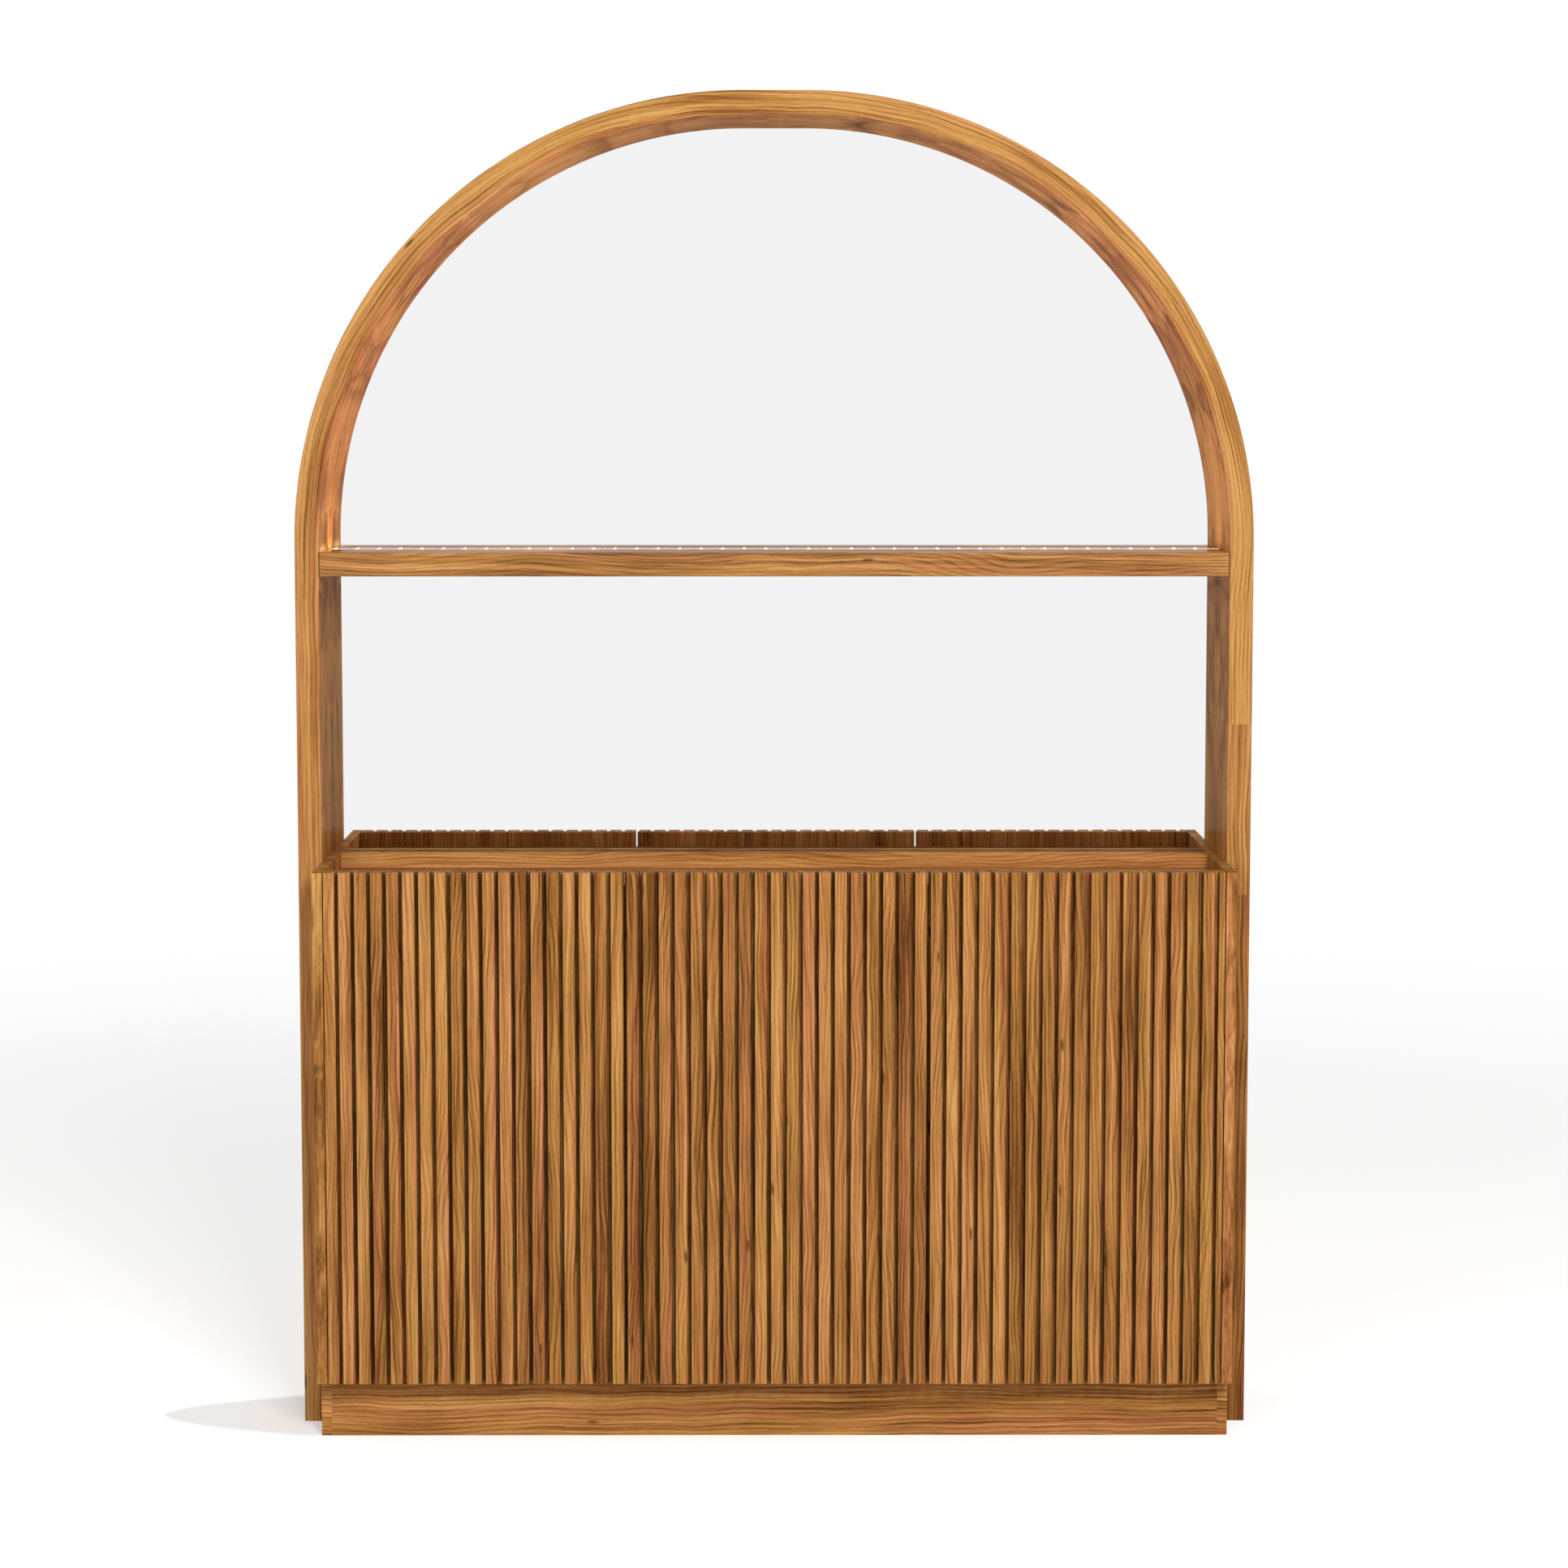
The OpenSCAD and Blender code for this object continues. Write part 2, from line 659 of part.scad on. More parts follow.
left_leg_lower();
left_leg_upper();
right_leg_lower();
right_leg_middle();
right_leg_upper();
left_bend();
right_bend();
crown_rail();
arch_dowels();
shelf();
shelf_dowels();
light_tape();
light_lenses();
light_driver();
mirror_pane();  // mirror
back_board();
board_screws();
left_side();
right_side();
deck();
well_rail();
bottom_panel();
left_partition();
right_partition();
cabinet_back();
toe_board();
rear_plinth();
left_inner_shelf();
middle_inner_shelf();
right_inner_shelf();
shelf_pins();
leg_bolts();
catches();
left_hinge_arms();
middle_hinge_arms();
right_hinge_arms();
door_backing(0);  // left_door_backing
door_slats(0);  // left_door_slats
pins_of_door(0);  // left_door_pins
strike(0);  // left_door_strike
door_backing(1);  // middle_door_backing
door_slats(1);  // middle_door_slats
pins_of_door(1);  // middle_door_pins
strike(1);  // middle_door_strike
door_backing(2);  // right_door_backing
door_slats(2);  // right_door_slats
pins_of_door(2);  // right_door_pins
strike(2);  // right_door_strike
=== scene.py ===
"""Back bar cabinet: finishes, small fittings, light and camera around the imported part. Metres."""

import math

import bmesh
import bpy
from mathutils import Matrix, Vector


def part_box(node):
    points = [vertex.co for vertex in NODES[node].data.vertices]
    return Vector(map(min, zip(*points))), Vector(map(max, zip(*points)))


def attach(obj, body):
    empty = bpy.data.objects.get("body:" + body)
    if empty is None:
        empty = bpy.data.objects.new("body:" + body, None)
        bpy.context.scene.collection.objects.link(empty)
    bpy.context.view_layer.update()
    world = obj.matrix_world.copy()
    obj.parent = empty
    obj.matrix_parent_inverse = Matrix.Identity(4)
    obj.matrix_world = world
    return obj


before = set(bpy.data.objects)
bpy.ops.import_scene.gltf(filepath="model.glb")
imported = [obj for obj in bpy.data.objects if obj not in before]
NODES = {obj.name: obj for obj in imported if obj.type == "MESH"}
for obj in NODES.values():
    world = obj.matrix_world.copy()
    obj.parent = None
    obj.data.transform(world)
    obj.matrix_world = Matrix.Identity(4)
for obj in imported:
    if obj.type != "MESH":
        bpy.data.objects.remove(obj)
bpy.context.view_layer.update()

# The camera of the photograph
CAMERA_AT = (-0.0016, -6.2627, 1.6536)
TILT_DOWN = math.radians(5.625)
YAW_RIGHT = math.radians(0.156)
LENS = 90.16
SENSOR = 36.0

# Places read from the frame
LEG_LOW, LEG_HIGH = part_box("right_leg_lower")
BEND_LOW, BEND_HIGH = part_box("right_bend")
RAIL_T = LEG_HIGH.x - LEG_LOW.x
BEND_R = BEND_HIGH.z - BEND_LOW.z
BEND_MID_R = BEND_R - RAIL_T / 2
FACET = 0.0006  # the flat faces of a bend lie within this of the true curve
BEND_X = BEND_LOW.x
SPRING_Z = BEND_LOW.z
SHELF_LOW, SHELF_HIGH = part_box("shelf")
DOORS = ("left", "middle", "right")
SLATS_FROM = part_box("left_side")[1].x
SLATS = 19  # on each door
SLATS_LOW, SLATS_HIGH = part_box("middle_door_slats")
SLAT_PITCH = (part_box("right_door_slats")[0].x - SLATS_LOW.x) / SLATS
SLAT_W = SLATS_HIGH.x - SLATS_LOW.x - (SLATS - 1) * SLAT_PITCH
DOOR_TOP = SLATS_HIGH.z
SLAT_FRONT = SLATS_LOW.y
BACKING_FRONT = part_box("middle_door_backing")[0].y
TOE_LOW, TOE_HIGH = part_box("toe_board")

# Plates of the hinge arms, tabs of the driver, and how far a strike's screws lie from its ends
PLATE_T = 0.003
PLATE_L = 0.050
PLATE_H = 0.038
TAB_T = 0.003
TAB_HOLE = 0.006
STRIKE_HOLE = 0.009

# Screws: radius and height of the head, radius and length of the shank, in millimetres
PAN_SCREW = (3.6, 1.7, 2.0, 2.6)
FLUSH_SCREW = (2.8, 0.14, 1.6, 1.2)

# The floor's own light as the camera sees it, and the shadow beside the left foot: how much of that light it takes,
# its length, its half width at the foot and its middle
FLOOR_LIFT = 0.56
SHADOW_DROP = 0.21
SHADOW_LONG = 0.235
SHADOW_HALF = 0.135
SHADOW_Y = 0.022

# Numbers that pick a board
SIDE_SEED = 52.6
TOE_SEED = 70.4

# Wood colours as linear values: pores and knots, then from the darkest streak to the palest
PORE_COLOR = (0.085, 0.036, 0.014, 1.0)
KNOT_COLOR = (0.060, 0.024, 0.010, 1.0)
WOOD_DARK = (0.112, 0.038, 0.007)
WOOD_MID = (0.300, 0.122, 0.030)
WOOD_GOLD = (0.470, 0.212, 0.056)
WOOD_PALE = (0.670, 0.355, 0.118)
# Tints that some streaks are multiplied by
WOOD_PINK = (1.02, 0.87, 1.14, 1.0)
WOOD_OLIVE = (0.96, 0.99, 0.86, 1.0)


def srgb(red, green, blue):
    """Linear colour of an sRGB colour given in 0 to 255."""
    def linear(value):
        value /= 255
        return value / 12.92 if value <= 0.04045 else ((value + 0.055) / 1.055) ** 2.4
    return (linear(red), linear(green), linear(blue), 1.0)


class Tree:
    """A short way to write shader nodes: each method adds a node and returns its output."""

    def __init__(self, tree):
        self.tree = tree

    def node(self, kind, **values):
        made = self.tree.nodes.new(kind)
        for name, value in values.items():
            setattr(made, name, value)
        return made

    def feed(self, socket, value):
        if isinstance(value, bpy.types.NodeSocket):
            self.tree.links.new(value, socket)
        elif value is not None:
            socket.default_value = value

    def math(self, operation, a, b=None, c=None, clamp=False):
        made = self.node("ShaderNodeMath", operation=operation, use_clamp=clamp)
        for socket, value in zip(made.inputs, (a, b, c)):
            self.feed(socket, value)
        return made.outputs[0]

    def length(self, a):
        made = self.node("ShaderNodeVectorMath", operation="LENGTH")
        self.feed(made.inputs[0], a)
        return made.outputs["Value"]

    def combine(self, x, y, z):
        made = self.node("ShaderNodeCombineXYZ")
        for socket, value in zip(made.inputs, (x, y, z)):
            self.feed(socket, value)
        return made.outputs[0]

    def split(self, vector):
        made = self.node("ShaderNodeSeparateXYZ")
        self.feed(made.inputs[0], vector)
        return made.outputs

    def noise(self, vector, scale, detail=2.0, roughness=0.5):
        made = self.node("ShaderNodeTexNoise")
        self.feed(made.inputs["Vector"], vector)
        self.feed(made.inputs["Scale"], scale)
        self.feed(made.inputs["Detail"], detail)
        self.feed(made.inputs["Roughness"], roughness)
        return made.outputs["Fac"]

    def random(self, value):
        """A number from 0 to 1 that is the same wherever the value is."""
        made = self.node("ShaderNodeTexWhiteNoise", noise_dimensions="1D")
        self.feed(made.inputs["W"], value)
        return made.outputs["Value"]

    def ramp(self, factor, stops):
        made = self.node("ShaderNodeValToRGB")
        elements = made.color_ramp.elements
        while len(elements) < len(stops):
            elements.new(0.5)
        for element, (place, color) in zip(elements, stops):
            element.position = place
            element.color = color if len(color) == 4 else (*color, 1.0)
        self.feed(made.inputs[0], factor)
        return made.outputs[0]

    def span(self, value, low, high, to_low=0.0, to_high=1.0, smooth=True):
        made = self.node("ShaderNodeMapRange", interpolation_type="SMOOTHSTEP" if smooth else "LINEAR")
        for name, given in (("Value", value), ("From Min", low), ("From Max", high),
                            ("To Min", to_low), ("To Max", to_high)):
            self.feed(made.inputs[name], given)
        return made.outputs[0]

    def mix(self, factor, a, b, blend="MIX"):
        made = self.node("ShaderNodeMix", data_type="RGBA", blend_type=blend)
        colors = [socket for socket in made.inputs if socket.type == "RGBA"]
        self.feed(made.inputs["Factor"], factor)
        self.feed(colors[0], a)
        self.feed(colors[1], b)
        return [socket for socket in made.outputs if socket.type == "RGBA"][0]

    def bump(self, height, strength, distance):
        made = self.node("ShaderNodeBump")
        self.feed(made.inputs["Strength"], strength)
        self.feed(made.inputs["Distance"], distance)
        self.feed(made.inputs["Height"], height)
        return made.outputs[0]


def new_material(name):
    """A material with a principled shader; returns the material, its Tree and the shader."""
    material = bpy.data.materials.new(name)
    material.use_nodes = True
    shader = material.node_tree.nodes["Principled BSDF"]
    return material, Tree(material.node_tree), shader


def object_place(tree):
    return tree.node("ShaderNodeTexCoord").outputs["Object"]


def grain_group():
    """Node group that turns a place in a board into wood, as a colour, a roughness and a height.

    Along is the place along the grain in metres, Across and Deep lie square to it, and Seed picks another board.
    Tone makes the wood paler, Red redder, Figure sets how far the rings wander, and Crisp how strong the pores and
    flecks are.
    """
    group = bpy.data.node_groups.new("oiled_wood", "ShaderNodeTree")
    face = group.interface
    for name, kind, value in (
        ("Along", "NodeSocketFloat", 0.0), ("Across", "NodeSocketFloat", 0.0), ("Deep", "NodeSocketFloat", 0.0),
        ("Seed", "NodeSocketFloat", 0.0), ("Tone", "NodeSocketFloat", 0.0), ("Red", "NodeSocketFloat", 0.0),
        ("Figure", "NodeSocketFloat", 1.0), ("Crisp", "NodeSocketFloat", 1.0),
    ):
        socket = face.new_socket(name, in_out="INPUT", socket_type=kind)
        socket.default_value = value
    face.new_socket("Color", in_out="OUTPUT", socket_type="NodeSocketColor")
    face.new_socket("Roughness", in_out="OUTPUT", socket_type="NodeSocketFloat")
    face.new_socket("Height", in_out="OUTPUT", socket_type="NodeSocketFloat")
    t = Tree(group)
    given = t.node("NodeGroupInput").outputs
    along, deep, seed = given["Along"], given["Deep"], given["Seed"]
    shift = t.math("MULTIPLY", seed, 3.717)
    # The grain leans a little in each board and wanders along it
    lean = t.span(t.random(seed), 0.0, 1.0, -0.022, 0.022, smooth=False)
    bow = t.noise(t.combine(t.math("MULTIPLY_ADD", given["Across"], 6.0, shift), shift,
                            t.math("MULTIPLY", along, 4.5)), 1.0, 2.0, 0.5)
    across = t.math("MULTIPLY_ADD", along, lean, given["Across"])
    across = t.math("MULTIPLY_ADD", bow, 0.022, across)

    def place(along_scale, across_scale, extra=0.0):
        return t.combine(
            t.math("MULTIPLY_ADD", across, across_scale, t.math("ADD", shift, extra)),
            t.math("MULTIPLY_ADD", deep, across_scale * 0.3, t.math("MULTIPLY", shift, 1.61)),
            t.math("MULTIPLY_ADD", along, along_scale, t.math("MULTIPLY", shift, 0.37)),
        )

    # Growth rings: each fades in slowly and ends short, and a slow drift gives arches and streaks
    drift = t.noise(place(1.9, 9.0), 1.0, 2.0, 0.5)
    rings = t.math("MULTIPLY_ADD", across, 140.0, t.math("MULTIPLY_ADD", deep, 16.0, shift))
    rings = t.math("ADD", rings, t.math("MULTIPLY", drift, t.math("MULTIPLY", given["Figure"], 15.0)))
    ring = t.math("FRACT", rings)
    late = t.math("MULTIPLY", t.math("POWER", ring, 3.0), t.span(ring, 0.86, 1.0, 1.25, 0.0))
    # Streaks along the grain, wide and fine
    wide = t.noise(place(0.9, 62.0, 1.0), 1.0, 3.0, 0.6)
    fine = t.noise(place(3.0, 330.0, 2.0), 1.0, 4.0, 0.65)
    hair = t.noise(place(9.0, 1150.0, 3.0), 1.0, 3.0, 0.6)
    fleck = t.noise(place(65.0, 700.0, 5.0), 1.0, 2.0, 0.6)
    clouds = t.noise(place(4.0, 15.0, 4.0), 1.0, 3.0, 0.55)
    tone = t.math("MULTIPLY_ADD", wide, 0.85, t.math("MULTIPLY_ADD", fine, 1.05, -1.07))
    tone = t.math("MULTIPLY_ADD", clouds, 0.60, tone)
    tone = t.math("MULTIPLY_ADD", hair, 0.60, tone)
    fleck = t.math("MULTIPLY", t.math("SUBTRACT", fleck, 0.5), given["Crisp"])
    tone = t.math("MULTIPLY_ADD", fleck, 0.25, t.math("ADD", tone, 0.125))
    tone = t.math("MULTIPLY_ADD", late, -0.24, tone)
    tone = t.math("ADD", tone, given["Tone"])
    color = t.ramp(tone, (
        (0.18, WOOD_DARK), (0.40, WOOD_MID), (0.60, WOOD_GOLD), (0.86, WOOD_PALE),
    ))
    hue = t.noise(place(0.8, 75.0, 7.0), 1.0, 2.0, 0.55)
    pink = t.math("ADD", t.span(hue, 0.50, 0.70), given["Red"], clamp=True)
    color = t.mix(pink, color, WOOD_PINK, "MULTIPLY")
    color = t.mix(t.span(hue, 0.48, 0.28), color, WOOD_OLIVE, "MULTIPLY")
    # Pores: short dark dashes
    dash = t.node("ShaderNodeTexVoronoi", feature="F1", distance="EUCLIDEAN")
    t.feed(dash.inputs["Vector"], place(60.0, 1500.0, 9.0))
    t.feed(dash.inputs["Scale"], 1.0)
    pore = t.span(dash.outputs["Distance"], 0.12, 0.34, 1.0, 0.0)
    pore = t.math("MULTIPLY", pore, t.span(clouds, 0.35, 0.62, 0.35, 1.0))
    pore = t.math("MULTIPLY", pore, given["Crisp"])
    color = t.mix(t.math("MULTIPLY", pore, 0.38), color, PORE_COLOR)
    # A rare small knot
    spot = t.node("ShaderNodeTexVoronoi", feature="F1", distance="EUCLIDEAN")
    t.feed(spot.inputs["Vector"], place(5.5, 21.0, 11.0))
    t.feed(spot.inputs["Scale"], 1.0)
    knot = t.span(spot.outputs["Distance"], 0.025, 0.085, 1.0, 0.0)
    color = t.mix(t.math("MULTIPLY", knot, 0.75), color, KNOT_COLOR)
    out = t.node("NodeGroupOutput")
    t.feed(out.inputs["Color"], color)
    t.feed(out.inputs["Roughness"], t.math("MULTIPLY_ADD", pore, 0.16, t.math("MULTIPLY_ADD", fine, 0.16, 0.30)))
    height = t.math("MULTIPLY_ADD", pore, -0.9, t.math("MULTIPLY_ADD", hair, 0.35, t.math("MULTIPLY", fine, 0.5)))
    t.feed(out.inputs["Height"], height)
    return group


GRAIN = grain_group()


def wood(name, along, across, deep, seed, tone=0.0, red=0.0, figure=1.0, coat=0.09, relief=0.35,
         seed_of=None, tone_of=None, crisp_of=None):
    """A wood material.

    along, across and deep are functions of (tree, axes) that give a place in the board, or a letter for an axis.
    seed_of and tone_of may add a value that changes from place to place, and crisp_of may set the strength of pores
    and flecks. coat is the weight of the oil's sheen, and relief the strength of the bumps.
    """
    material, tree, shader = new_material(name)
    place = object_place(tree)
    axes = dict(zip("xyz", tree.split(place)))

    def value(given):
        return axes[given] if isinstance(given, str) else given(tree, axes)

    board = tree.node("ShaderNodeGroup", node_tree=GRAIN)
    tree.feed(board.inputs["Along"], value(along))
    tree.feed(board.inputs["Across"], value(across))
    tree.feed(board.inputs["Deep"], value(deep))
    tree.feed(board.inputs["Seed"], seed if seed_of is None else tree.math("ADD", seed_of(tree, axes), seed))
    tree.feed(board.inputs["Tone"], tone if tone_of is None else tree.math("ADD", tone_of(tree, axes), tone))
    tree.feed(board.inputs["Red"], red(tree, axes) if callable(red) else red)
    tree.feed(board.inputs["Figure"], figure)
    tree.feed(board.inputs["Crisp"], None if crisp_of is None else crisp_of(tree, axes))
    tree.feed(shader.inputs["Base Color"], board.outputs["Color"])
    tree.feed(shader.inputs["Roughness"], board.outputs["Roughness"])
    tree.feed(shader.inputs["Normal"], tree.bump(board.outputs["Height"], relief, 0.0004))
    shader.inputs["Specular IOR Level"].default_value = 0.0
    shader.inputs["Coat Weight"].default_value = coat
    shader.inputs["Coat Roughness"].default_value = 0.22
    return material


def assign(material, *names):
    """Gives a material to CAD nodes."""
    for name in names:
        piece = NODES[name]
        piece.data.materials.clear()
        piece.data.materials.append(material)


def past_bend_start(tree, axes):
    """How far a place lies outside the straight crown, above the springing and below it."""
    out = tree.math("MAXIMUM", tree.math("SUBTRACT", tree.math("ABSOLUTE", axes["x"]), BEND_X), 0.0)
    above = tree.math("SUBTRACT", axes["z"], SPRING_Z)
    return out, tree.math("MAXIMUM", above, 0.0), tree.math("MAXIMUM", tree.math("MULTIPLY", above, -1.0), 0.0)


def arch_along(tree, axes):
    """Distance along the middle of the arch rail and its upper legs from the highest point, positive to the right."""
    out, up, down = past_bend_start(tree, axes)
    turned = tree.math("MULTIPLY_ADD", tree.math("ARCTAN2", out, up), BEND_MID_R, down)
    straight = tree.math("MINIMUM", tree.math("MAXIMUM", axes["x"], -BEND_X), BEND_X)
    return tree.math("ADD", tree.math("MULTIPLY", turned, tree.math("SIGN", axes["x"])), straight)


def arch_across(tree, axes):
    """Distance outwards from the middle of the arch rail."""
    out, up, down = past_bend_start(tree, axes)
    square = tree.math("ADD", tree.math("MULTIPLY", out, out), tree.math("MULTIPLY", up, up))
    across = tree.math("SUBTRACT", tree.math("SQRT", square), BEND_MID_R)
    edge = RAIL_T / 2 - FACET
    return tree.math("MINIMUM", tree.math("MAXIMUM", across, -edge), edge)


def arch_deep(tree, axes):
    """Depth in the arch rail from its front, drawn out into broad streaks over its wide faces."""
    return tree.math("MULTIPLY_ADD", axes["y"], 0.15, LEG_LOW.y * 0.85)


def arch_crisp(tree, axes):
    """Pores and flecks are faint on the wide faces of the arch, which are mostly seen at a flat angle."""
    across = tree.math("ABSOLUTE", arch_across(tree, axes))
    return tree.span(across, RAIL_T / 2 - 0.003, RAIL_T / 2 - 0.001, 1.0, 0.1)


def arch_tone(tree, axes):
    """The arch and its upper legs are darkest on the left and palest along the right bend."""
    along = arch_along(tree, axes)
    tone = tree.span(along, -1.00, -0.70, -0.05, 0.04)
    tone = tree.math("ADD", tone, tree.span(along, -0.65, -0.45, 0.0, -0.06))
    tone = tree.math("ADD", tone, tree.span(along, -0.15, 0.10, 0.0, 0.06))
    return tree.math("ADD", tone, tree.span(along, 0.15, 0.45, 0.0, 0.06))


def shelf_tone(tree, axes):
    """A thin dark seam at each end of the shelf."""
    end = tree.math("ABSOLUTE", axes["x"])
    return tree.span(end, SHELF_HIGH.x - 0.0022, SHELF_HIGH.x - 0.0008, 0.0, -0.45)


def slat_number(tree, axes):
    """A number for each slat, counted from the left side panel over all three doors."""
    count = tree.math("DIVIDE", tree.math("SUBTRACT", axes["x"], SLATS_FROM), SLAT_PITCH)
    return tree.math("FLOOR", count)


def toe_edge(tree, axes):
    """1 on the part of a side panel's front edge that lies beside the toe board."""
    front = tree.math("LESS_THAN", axes["y"], TOE_LOW.y + 0.002)
    return tree.math("MULTIPLY", front, tree.math("LESS_THAN", axes["z"], TOE_HIGH.z))


def side_place(upper, beside_toe):
    """A place that follows one axis on a side panel and another one on its edge beside the toe board."""
    def place(tree, axes):
        change = tree.math("SUBTRACT", axes[beside_toe], axes[upper])
        return tree.math("MULTIPLY_ADD", toe_edge(tree, axes), change, axes[upper])
    return place


def toe_painted_shadow(tree, axes):
    """Painted shadow: the toe board is darker towards its top, under the doors; the rear plinth, in the same wood, is
    too.
    """
    return tree.span(axes["z"], TOE_LOW.z + 0.5 * (TOE_HIGH.z - TOE_LOW.z), TOE_HIGH.z, 0.0, -0.09)


def side_seed(tree, axes):
    return tree.math("MULTIPLY", toe_edge(tree, axes), TOE_SEED - SIDE_SEED)


def slat_across(tree, axes):
    """Place across a slat, measured from its left edge."""
    start = tree.math("MULTIPLY_ADD", slat_number(tree, axes), SLAT_PITCH, SLATS_FROM)
    return tree.math("SUBTRACT", axes["x"], start)


def slat_seed(tree, axes):
    return tree.math("MULTIPLY", slat_number(tree, axes), 7.31)


def slat_tone_and_painted_light(tree, axes):
    """Each slat has its own tone, with painted light over it: a painted highlight on its left arris, painted shade on
    its right arris and on its sides deep in the grooves, and a painted highlight along its cut top.
    """
    pick = tree.math("ADD", slat_number(tree, axes), 0.5)
    across = slat_across(tree, axes)
    tone = tree.span(tree.random(pick), 0.0, 1.0, -0.10, 0.07, smooth=False)
    # Painted highlight along the left arris of each slat
    tone = tree.math("ADD", tone, tree.span(across, 0.0004, 0.0030, 0.09, 0.0))
    # Painted shade along the right arris, beside the groove
    tone = tree.math("ADD", tone, tree.span(across, SLAT_W - 0.0035, SLAT_W - 0.0004, 0.0, -0.10))
    # Painted shade on the slat's sides further back in the grooves
    tone = tree.math("ADD", tone, tree.span(axes["y"], SLAT_FRONT + 0.003, SLAT_FRONT + 0.008, 0.0, -0.12))
    # Painted highlight along the top of the door
    return tree.math("ADD", tone, tree.span(axes["z"], DOOR_TOP - 0.0012, DOOR_TOP - 0.0002, 0.0, 0.14))


def slat_red(tree, axes):
    """Some slats are redder than others."""
    pick = tree.math("ADD", slat_number(tree, axes), 40.5)
    return tree.span(tree.random(pick), 0.5, 1.0, 0.0, 0.30)


def backing_painted_groove_shade(tree, axes):
    """Painted shade in the grooves: the front of a door's backing, behind the slats, is darker than its back."""
    return tree.span(axes["y"], BACKING_FRONT + 0.0002, BACKING_FRONT + 0.002, -0.23, 0.0)


def dress_wood():
    assign(wood("left_leg_lower_wood", "z", "x", "y", 3.1, 0.17, figure=0.5), "left_leg_lower")
    assign(wood("right_leg_lower_wood", "z", "x", "y", 12.7, -0.12, figure=0.5), "right_leg_lower")
    assign(wood("right_leg_middle_wood", "z", "x", "y", 17.9, 0.08, figure=0.5), "right_leg_middle")
    assign(wood("arch_wood", arch_along, arch_across, arch_deep, 27.6, 0.04, figure=0.6, relief=0.04,
                tone_of=arch_tone, crisp_of=arch_crisp),
           "left_leg_upper", "left_bend", "crown_rail", "right_bend", "right_leg_upper")
    assign(wood("shelf_wood", "x", "z", "y", 40.5, -0.02, coat=0.45, tone_of=shelf_tone), "shelf")
    assign(wood("deck_wood", "x", "y", "z", 44.9, -0.04), "deck")
    assign(wood("well_rail_wood", "x", "z", "y", 48.2, 0.09), "well_rail")
    assign(wood("side_wood", side_place("z", "x"), side_place("y", "z"), side_place("x", "y"), SIDE_SEED, -0.01,
                figure=0.6, seed_of=side_seed), "left_side", "right_side")
    assign(wood("bottom_wood", "x", "y", "z", 57.3, -0.02), "bottom_panel")
    assign(wood("partition_wood", "z", "y", "x", 61.7, -0.02), "left_partition", "right_partition")
    assign(wood("inner_shelf_wood", "x", "y", "z", 66.1, 0.0),
           "left_inner_shelf", "middle_inner_shelf", "right_inner_shelf")
    # The toe board and the rear plinth get a painted shadow under the doors through their tone
    assign(wood("toe_wood", "x", "z", "y", TOE_SEED, -0.06, figure=0.35, tone_of=toe_painted_shadow), "toe_board", "rear_plinth")
    # The slats get painted highlights and painted shade through their tone
    assign(wood("slat_wood", "z", slat_across, "y", 75.0, -0.03, red=slat_red, figure=0.7,
                seed_of=slat_seed, tone_of=slat_tone_and_painted_light),
           *(f"{side}_door_slats" for side in DOORS))
    # The door backings get painted shade in the grooves through their tone
    assign(wood("backing_wood", "z", "x", "y", 81.0, 0.02, tone_of=backing_painted_groove_shade),
           *(f"{side}_door_backing" for side in DOORS))


def plywood():
    """Pale sheet with faint broad grain."""
    material, tree, shader = new_material("backing_ply")
    x, y, z = tree.split(object_place(tree))
    grain = tree.noise(tree.combine(tree.math("MULTIPLY", x, 55.0), tree.math("MULTIPLY", y, 55.0),
                                    tree.math("MULTIPLY", z, 1.4)), 1.0, 4.0, 0.6)
    cloud = tree.noise(tree.combine(tree.math("MULTIPLY", x, 6.0), 0.0, tree.math("MULTIPLY", z, 0.9)), 1.0, 2.0)
    tone = tree.math("MULTIPLY_ADD", cloud, 0.5, tree.math("MULTIPLY", grain, 0.5))
    color = tree.ramp(tone, ((0.3, (0.46, 0.27, 0.12)), (0.55, (0.60, 0.40, 0.21)), (0.75, (0.70, 0.52, 0.31))))
    tree.feed(shader.inputs["Base Color"], color)
    tree.feed(shader.inputs["Roughness"], tree.span(grain, 0.3, 0.7, 0.55, 0.72))
    tree.feed(shader.inputs["Normal"], tree.bump(grain, 0.3, 0.0005))
    assign(material, "back_board", "cabinet_back")


def bare_dowels():
    material, tree, shader = new_material("dowel_wood")
    x, y, z = tree.split(object_place(tree))
    grain = tree.noise(tree.combine(tree.math("MULTIPLY", x, 400.0), tree.math("MULTIPLY", y, 400.0),
                                    tree.math("MULTIPLY", z, 30.0)), 1.0, 3.0)
    color = tree.ramp(grain, ((0.35, (0.52, 0.35, 0.18)), (0.65, (0.68, 0.50, 0.30))))
    tree.feed(shader.inputs["Base Color"], color)
    shader.inputs["Roughness"].default_value = 0.6
    assign(material, "arch_dowels", "shelf_dowels")


def mirror_glass():
    """Silvered glass: its faint tint is the shader's own, with specks of dust in the roughness."""
    material, tree, shader = new_material("mirror_glass")
    shader.inputs["Base Color"].default_value = (0.888, 0.890, 0.888, 1.0)
    shader.inputs["Metallic"].default_value = 1.0
    dust = tree.noise(object_place(tree), 900.0, 2.0)
    tree.feed(shader.inputs["Roughness"], tree.span(dust, 0.66, 0.80, 0.0, 0.05))
    assign(material, "mirror")


